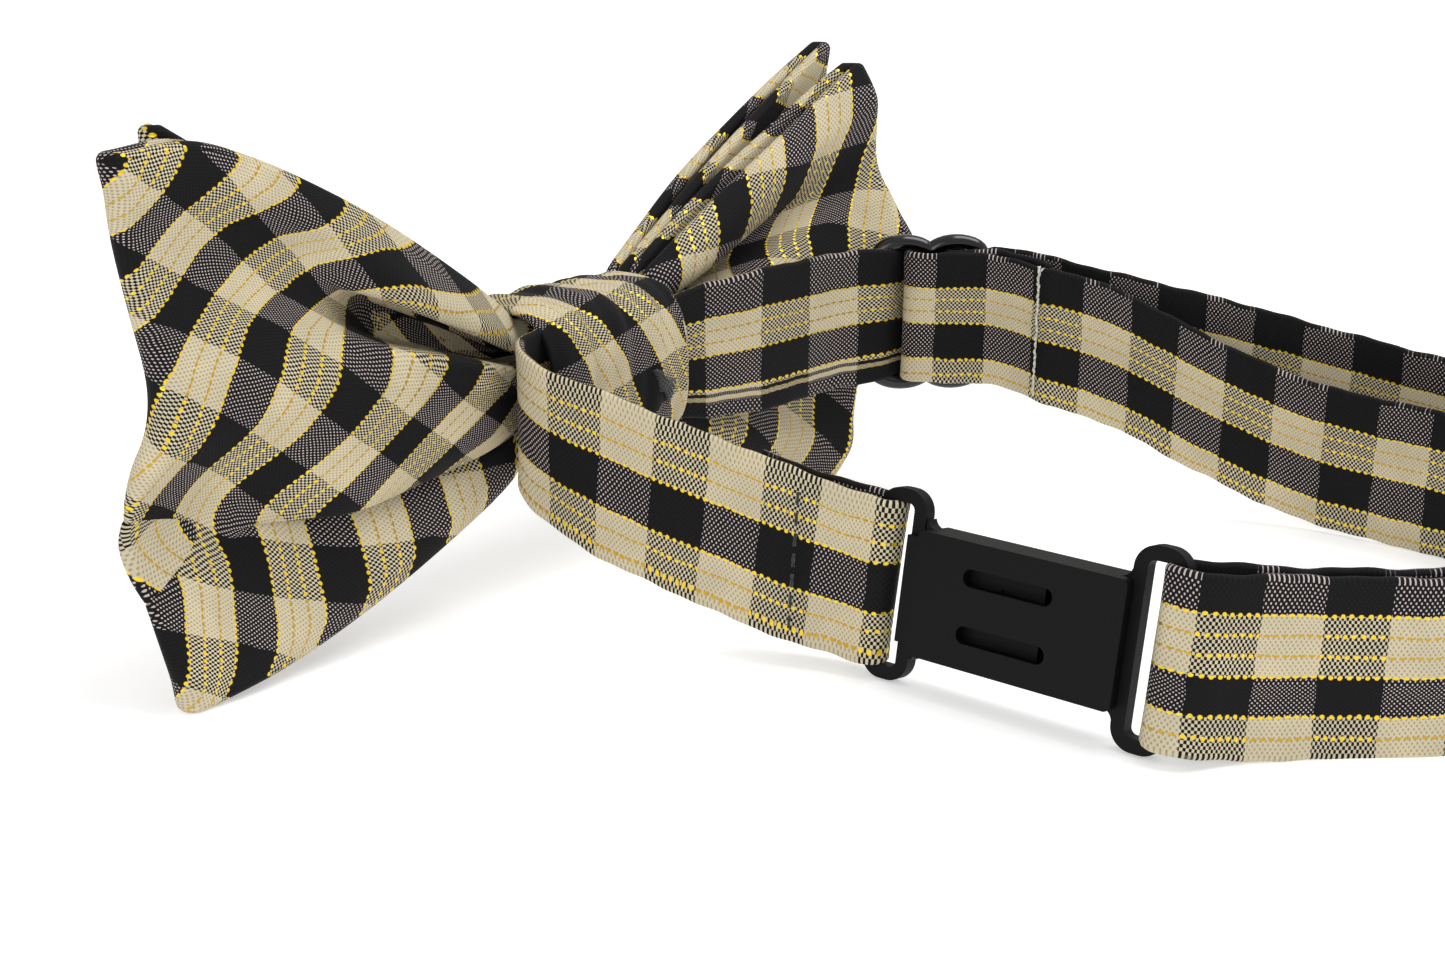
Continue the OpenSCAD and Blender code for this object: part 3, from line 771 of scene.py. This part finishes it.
# ---------- neckband ----------
BAND_WIDTH = 19.0
BAND_HALF = 0.55
PINCHED = 18.2
BEND_CENTRE = np.array([-40.0, 34.0])
BEND_RADIUS = 24.0
SLIDER_PLANE = 24.6
SLIDER_ANGLE = -137.0
RETURN_RADIUS = 21.0
TAIL_RADIUS = 22.4
TAIL_ARC = 45.0
WEAVE_HALF = 22.0
BAR_PITCH = 7.6
THROUGH_OFFSET = 1.9
WEAVE_OFFSET = 3.25
FOLD_RADIUS = 1.8
MALE_BAR = (4.57, 52.2)
FEMALE_BAR = (4.57, 88.5)
BAND_STEP = 0.8
BAND_WAVE = 0.12        # how far the cloth waves out of its route


def at_slider(t, n):
    """Point at t along the band and n towards the bend's centre from the slider's plane."""
    a = math.radians(SLIDER_ANGLE)
    out = np.array([math.cos(a), math.sin(a)])
    along = np.array([math.sin(a), -math.cos(a)])
    return BEND_CENTRE + (SLIDER_PLANE - n) * out + t * along


def on_bend(radius, angle):
    """Point of the bend, by the angle from the slider away from the knot."""
    a = math.radians(SLIDER_ANGLE - angle)
    return BEND_CENTRE + radius * np.array([math.cos(a), math.sin(a)])


def level(points, width=BAND_WIDTH):
    """Upright band rows at the knot's height."""
    return [(x, y, MID_Z, 0.0, width) for x, y in points]


def sink(angle):
    """Height of the return layer's end, which drops a little away from the slider."""
    return MID_Z - 1.7 * (max(angle - 14, 0) / (TAIL_ARC - 14)) ** 2


def band(path, uv_of, seed):
    """Folded band along rows of (x, y, z, lean towards -X, width), and its length. uv_of maps its cloth."""
    path = np.array(path, float)
    run = lengths(path[:, :3])
    even = np.linspace(0, run[-1], int(run[-1] / BAND_STEP) + 1)
    fine = np.column_stack([np.interp(even, run, path[:, i]) for i in range(5)])
    for _ in range(2):
        fine[1:-1] = (fine[:-2] + 2 * fine[1:-1] + fine[2:]) / 4
    travel = lengths(fine[:, :3])
    way = np.gradient(fine[:, :2], axis=0)
    way = np.column_stack([unit(way), np.zeros(len(fine))])
    lean = np.radians(fine[:, 3])
    up = np.column_stack([-np.sin(lean), np.zeros(len(fine)), np.cos(lean)])
    out = unit(np.cross(up, way))
    shares = np.linspace(-1, 1, 13)
    phase = np.random.default_rng(seed).uniform(0, 6.28, 4)
    mid = []
    for i, p in enumerate(fine):
        s = travel[i]
        sway = np.sin(s * 0.42 + phase[0]) * shares
        belly = 0.7 * np.sin(s * 0.23 + phase[1]) * (1 - shares ** 2)
        soft = BAND_WAVE * (sway + belly)
        width = p[4] / 2 + 0.10 * math.sin(s * 0.55 + phase[2]) + 0.06 * math.sin(s * 1.3 + phase[3])
        mid.append(p[:3] + np.outer(shares * width, up[i]) + np.outer(soft, out[i]))
    mid = np.array(mid)
    across = np.tile(shares * BAND_WIDTH / 2, (len(fine), 1))
    half = np.tile(BAND_HALF - 0.13 * (1 - np.abs(shares) ** 4), (len(fine), 1))
    rings, ring_s = ribbon(mid, half, across)
    ring_run = np.tile(travel[:, None], (1, ring_s.shape[1]))
    rim = math.pi * half[0, 0]
    right_face = ring_s < BAND_WIDTH / 2 + rim / 2
    from_top = np.where(right_face, BAND_WIDTH / 2 - ring_s, ring_s - BAND_WIDTH / 2 - rim)
    column, row = uv_of(ring_run, from_top, right_face)
    return loft(rings, np.stack([column, row], axis=-1)), travel[-1]


def weave_rows():
    """Inside the outer bars and outside the centre bar."""
    lift = math.degrees(math.acos((THROUGH_OFFSET + WEAVE_OFFSET) / BAR_PITCH))
    places = list(arc((-BAR_PITCH, 0), THROUGH_OFFSET, 95, lift, 6))
    places += list(arc((0, 0), WEAVE_OFFSET, 180 + lift, 360 - lift, 10))
    places += list(arc((BAR_PITCH, 0), THROUGH_OFFSET, 180 - lift, 85, 6))
    return level([at_slider(t, n) for t, n in places], PINCHED)


def knot_run_rows():
    rows = [(-1, 6, MID_Z, 0, 15), (-8, 6, MID_Z, 0, 15), (-13, 6.4, MID_Z, 0, 15.8),
            (-19, 7.7, MID_Z, 0, 17.6), (-28, 9.3, MID_Z, 0, BAND_WIDTH)]
    bend = level(arc(BEND_CENTRE, BEND_RADIUS, -92, SLIDER_ANGLE + WEAVE_HALF, 4))
    return list(smooth(rows + bend, 6)[:-1])


def outer_rows():
    rows = level([on_bend(BEND_RADIUS, a) for a in (WEAVE_HALF, 30)])
    rows += [(-68, 42, 24.5, 0, 19), (-76, 56, 21, 0, 19), (-83, 72, 17, 0, 19), (-85, 88, 14.5, 0, 19),
             (-81, 104, 12, 0, 19), (-68, 118, 10.5, 0, 19), (-44, 125, 9.8, 0, 19), (-28, 120.5, 9.6, 0, 19),
             (-14, 111, 9.6, 0, 19), (-5, 100.8, 9.8, 3, 19)]
    return smooth(rows, 10)


def return_rows():
    rows = [(-43, 121, 9.6, 0, 19), (-62, 112.5, 9.6, 0, 19), (-72, 100, 9.8, 0, 19), (-75.5, 88, 10, 0, 19),
            (-75, 70, 11.4, 0, 19), (-71, 56, 16.5, 0, 19), (-66, 44, 22.5, 0, 19)]
    rows += [tuple(on_bend(RETURN_RADIUS, TAIL_ARC + 3)) + (25.4, 0, 19)]
    return rows


def make_band(name, path, uv_of, body, nodes, seed):
    """A stretch of band as a piece. body is one body, which it is attached to; given two bodies and the
    points between them instead, the piece is left unattached with its placing baked in.
    """
    (vertices, faces, uvs), run = band(path, uv_of, seed)
    obj = mesh_object(name, vertices, faces, PLAID, uvs, None)
    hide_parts(*nodes)
    if isinstance(body, str):
        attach(obj, body)
    else:
        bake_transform(obj)


def inner_face_rows(w):
    """Rows of the face that looks into the loop, by distance from the band's top edge."""
    return lookup(w, [(0, 8.0), (5.0, 13.7), (10.3, 20.9), (16.0, 27.4), (19, 30.4), (19.5, 30.8)])


def seamed_face_rows(w):
    """The same face near the knot, where the lapped seam shows below the lower cream row."""
    above = lookup(w, [(0, 8.2), (5, 13.7), (10.4, 20.9), (15.5, 27.3), (17, 29.3)])
    return np.where(w < 16.9, above, w - 8.0)


def outer_face_rows(w):
    """Rows of the face that looks away from the loop."""
    return 7.2 - 1.06 * np.clip(w, 0.65, 18.4)


def clip_face_rows(w):
    """Outer face near the clip: its lapped seam hides part of a black row."""
    return lookup(w, [(0, 9.7), (3.9, 13.7), (10.5, 20.9), (12.6, 23.0), (12.7, 25.1), (14.9, 27.4),
                      (19, 31.5)])


def band_map(start, inner, outer, column_scale=1.0, inner_is_right=True):
    """Cloth map of a band: start is its first column coordinate, inner and outer give its faces' rows."""
    def place(run, from_top, right_face):
        on_inner = right_face if inner_is_right else ~right_face
        return run * column_scale + start, np.where(on_inner, inner(from_top), outer(from_top))
    return place


# Column coordinate at the start of each stretch
KNOT_SIDE_COLUMN = -4.9
OUTER_COLUMN = -10.4
CLIP_COLUMN = 2.4
RETURN_COLUMN = 0.4
SHORT_COLUMN = 4.6

make_band(
    "long_strap_knot_side", knot_run_rows() + weave_rows() + level([on_bend(BEND_RADIUS, WEAVE_HALF)]),
    band_map(KNOT_SIDE_COLUMN, seamed_face_rows, outer_face_rows, 0.69),
    ("bow_and_band", "slider", (-14, 6.5, 27), (-50, 13, 27)),
    ["long_strap_knot_run", "long_strap_slider_weave"], seed=3)

outer = outer_rows()
apex = int(np.argmax(outer[:, 1]))
make_band(
    "long_strap_outer_side", outer[:apex + 1], band_map(OUTER_COLUMN, inner_face_rows, outer_face_rows),
    ("slider", "bow_and_band", (-60, 24, 27), (-60, 121, 12)), ["long_strap_outer_run"], seed=5)

female_fold = [(x, y, 11.2, 10, PINCHED) for x, y in arc(FEMALE_BAR, FOLD_RADIUS, 0, -180, 12)]
to_clip = smooth([tuple(outer[-1]), (1.4, 95, 10.4, 6, 19), (5.4, 91.9, 11, 9, 18.5), female_fold[0]], 8)
from_clip = [female_fold[-1], (0, 92.9, 10.6, 7, 19), (-7.6, 100.4, 9.8, 3, 19), (-17, 109.6, 9.6, 0, 19),
             (-28, 117, 9.6, 0, 19), (-43, 121, 9.6, 0, 19)]
clip_rows = list(outer[apex:-1]) + list(to_clip[:-1]) + female_fold[:-1] + list(smooth(from_clip, 8))
make_band(
    "long_strap_clip_side", clip_rows, band_map(CLIP_COLUMN, inner_face_rows, clip_face_rows),
    ("bow_and_band", "clip_female_half", (-44, 120, 10), (4, 95, 10)), ["long_strap_clip_fold"], seed=7)

# The sewn end's way round the centre bar: along the band, and towards the bend's centre
EYE = [(4.5, 4.6), (1.5, 4.4), (-1.6, 4), (-3.3, 3.2), (-3.9, 2.1), (-3.4, 1), (-2.3, -0.3), (-1.4, -1.45),
       (0, -1.98), (1.4, -1.4), (1.98, 0), (2.6, 1.4), (3.8, 2.6), (5.6, 3.3)]
sewn = [tuple(on_bend(RETURN_RADIUS, a)) + (sink(a), 0, PINCHED) for a in np.arange(46, 19, -5.2)]
sewn += [tuple(at_slider(t, n)) + (MID_Z, 0, PINCHED) for t, n in EYE]
sewn += [tuple(on_bend(TAIL_RADIUS, a)) + (sink(a) + 0.6, 0, PINCHED) for a in np.arange(23, 46, 5.5)]
make_band(
    "long_strap_return_side", list(smooth(return_rows() + sewn, 6)),
    band_map(RETURN_COLUMN, inner_face_rows, inner_face_rows, 0.947, False),
    ("bow_and_band", "slider", (-76, 70, 12), (-66, 40, 24)),
    ["long_strap_return_run", "long_strap_sewn_end"], seed=9)

short_rows = [(1, 6, MID_Z, 0, 15), (8, 6, MID_Z, 0, 15), (13, 6.4, MID_Z, 0, 15.6),
              (17.2, 7.4, 25.6, 0, 17),
              (18, 11.6, 23, 0, 18.2), (15.6, 20.5, 19.6, 6, 19), (12, 32, 16, 9, 19),
              (8.4, 43, 12.8, 10, 19), (6.6, 48.6, 11.6, 10, PINCHED)]
short_fold = [(x, y, 11.2, 10, PINCHED) for x, y in arc(MALE_BAR, FOLD_RADIUS, 0, 180, 12)]
short_back = [(3.4, 48, 11.4, 10, PINCHED), (5.2, 41.5, 12.6, 10, PINCHED), (7.4, 36, 14.2, 9.4, PINCHED)]
short_path = list(smooth(short_rows + [short_fold[0]], 8)[:-1]) + short_fold[:-1]
short_path += list(smooth([short_fold[-1]] + short_back, 6))
make_band(
    "short_strap_band", short_path,
    band_map(SHORT_COLUMN, inner_face_rows, outer_face_rows, 1.0, False),
    "bow_and_band", ["short_strap"], seed=11)


# ---------- slider, tack and stitches ----------
ARCH_FOOT = 8.5
ARCH_RISE = 1.9
FRAME_RADIUS = 1.2
MIDDLE_RADIUS = 1.15


def slider_point(t, z):
    """Point of the slider's plane, t along the band and z above its middle."""
    x, y = at_slider(t, 0.0)
    return (x, y, MID_Z + z)


def slider_frame():
    """Figure-of-eight frame: two arches at the top, two at the bottom, and the middle bar between them."""
    turn = np.linspace(0, math.pi, 15)
    half = BAR_PITCH / 2
    arches = [(-half - half * math.cos(a), ARCH_FOOT + ARCH_RISE * math.sin(a)) for a in turn]
    arches += [(half - half * math.cos(a), ARCH_FOOT + ARCH_RISE * math.sin(a)) for a in turn[1:]]
    lower = [(t, -z) for t, z in reversed(arches)]
    side_up = [(-BAR_PITCH, z) for z in np.linspace(0, ARCH_FOOT, 8)[:-1]]
    side_down = [(BAR_PITCH, z) for z in np.linspace(ARCH_FOOT, -ARCH_FOOT, 15)[1:-1]]
    side_back = [(-BAR_PITCH, z) for z in np.linspace(-ARCH_FOOT, 0, 8)[1:]]
    outline = [slider_point(t, z) for t, z in side_up + arches + side_down + lower + side_back]
    middle = [slider_point(0, z) for z in np.linspace(-ARCH_FOOT - 0.2, ARCH_FOOT + 0.2, 12)]
    vertices, faces, _ = join([tube(outline, FRAME_RADIUS, 14), tube(middle, MIDDLE_RADIUS, 14)])
    obj = mesh_object("slider_moulding", vertices, faces, SLIDER_PLASTIC, None, "slider")
    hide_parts("slider_frame")


def knot_tack():
    """Black tacking threads across the wrap's lower back edge."""
    strands = []
    for i in range(5):
        start = np.array([-4.6 - 0.25 * i, 9.9, 27.2 - 0.55 * i])
        end = np.array([-9.4 + 0.3 * i, 9.7, 24.6 - 0.5 * i])
        points = [start + (end - start) * t + [0, 0.35 * math.sin(math.pi * t), 0.3 * math.sin(9 * t + i)]
                  for t in np.linspace(0, 1, 10)]
        strands.append(tube(points, [0.12] + [0.24] * 8 + [0.12], 6))
    vertices, faces, _ = join(strands)
    obj = mesh_object("knot_tack_threads", vertices, faces, BLACK_THREAD, None, "bow_and_band")
    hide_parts("knot_tack_stitches")


def sewn_seam():
    """Frayed white thread along the seam of the return layer's end, with a tuft at its top."""
    rng = random.Random(21)
    radius = RETURN_RADIUS - BAND_HALF - 0.12
    angle = TAIL_ARC - 1.5
    middle = sink(angle)
    strands = []
    z = -8.9
    while z < 9.0:
        run = rng.uniform(0.7, 1.5)
        sway = rng.uniform(-0.22, 0.22)
        points = []
        for t in np.linspace(0, 1, 5):
            x, y = on_bend(radius - 0.18 * math.sin(math.pi * t), angle + sway + rng.uniform(-0.25, 0.25))
            points.append((x, y, middle + z + run * t))
        strands.append(tube(points, [0.08, 0.19, 0.22, 0.18, 0.08], 5))
        z += run * rng.uniform(0.7, 1.0)
    for _ in range(22):
        spread = rng.uniform(-2.6, 2.6)
        rise = rng.uniform(0.2, 1.5)
        points = []
        for t in np.linspace(0, 1, 5):
            x, y = on_bend(radius + rng.uniform(0.3, 0.9) * t, angle + spread * t)
            points.append((x, y, middle + 8.7 + rise * t + 0.3 * math.sin(4 * t)))
        strands.append(tube(points, [0.14, 0.17, 0.17, 0.13, 0.05], 5))
    vertices, faces, _ = join(strands)
    obj = mesh_object("sewn_end_thread", vertices, faces, WHITE_THREAD, None, "slider")
    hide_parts("sewn_end_stitching")


slider_frame()
knot_tack()
sewn_seam()

for name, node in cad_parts.items():
    if node.hide_render:
        continue
    material = CLIP_PLASTIC if name in ("clip_male", "clip_female") else BLACK_THREAD
    node.data.materials.clear()
    node.data.materials.append(material)
